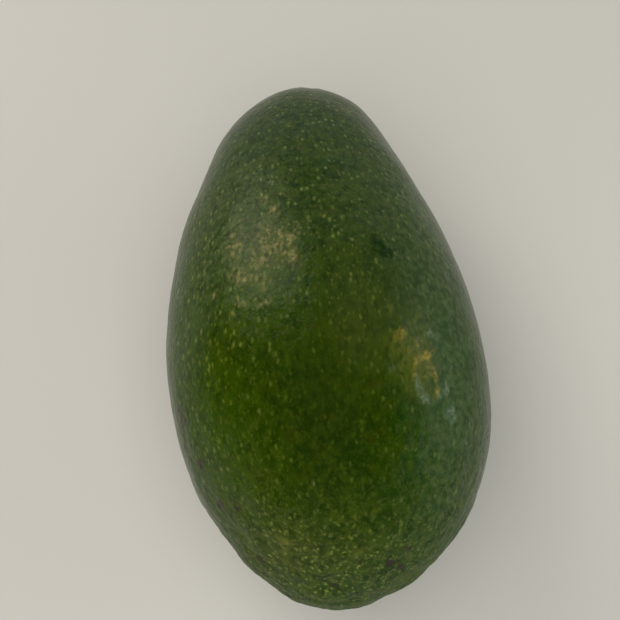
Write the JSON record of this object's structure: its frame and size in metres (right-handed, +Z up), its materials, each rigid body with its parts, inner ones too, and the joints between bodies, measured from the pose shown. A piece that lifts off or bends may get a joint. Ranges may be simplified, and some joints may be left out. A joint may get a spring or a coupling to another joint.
{
  "type": "avocado",
  "caption": "Whole green pear-shaped avocado lying on its side, with a pebbled blossom end and a woody stem button in a dimple.",
  "frame": {"origin": "on the surface that the fruit lies on, under the middle of its box", "axes": "+Y along the fruit from the blossom end to the stem end, +Z up through the side that the picture shows, +X to that side's right"},
  "size_m": [0.0694, 0.1228, 0.0672],
  "materials": {
    "skin": "thin leathery green fruit skin with pale dots, low pebbles and a soft waxy gloss",
    "stem_wood": "dry brown end of the stem, rough and unglazed"
  },
  "bodies": {
    "root": {"avocado": "skin", "stem_button": "stem_wood"}
  },
  "joints": []
}
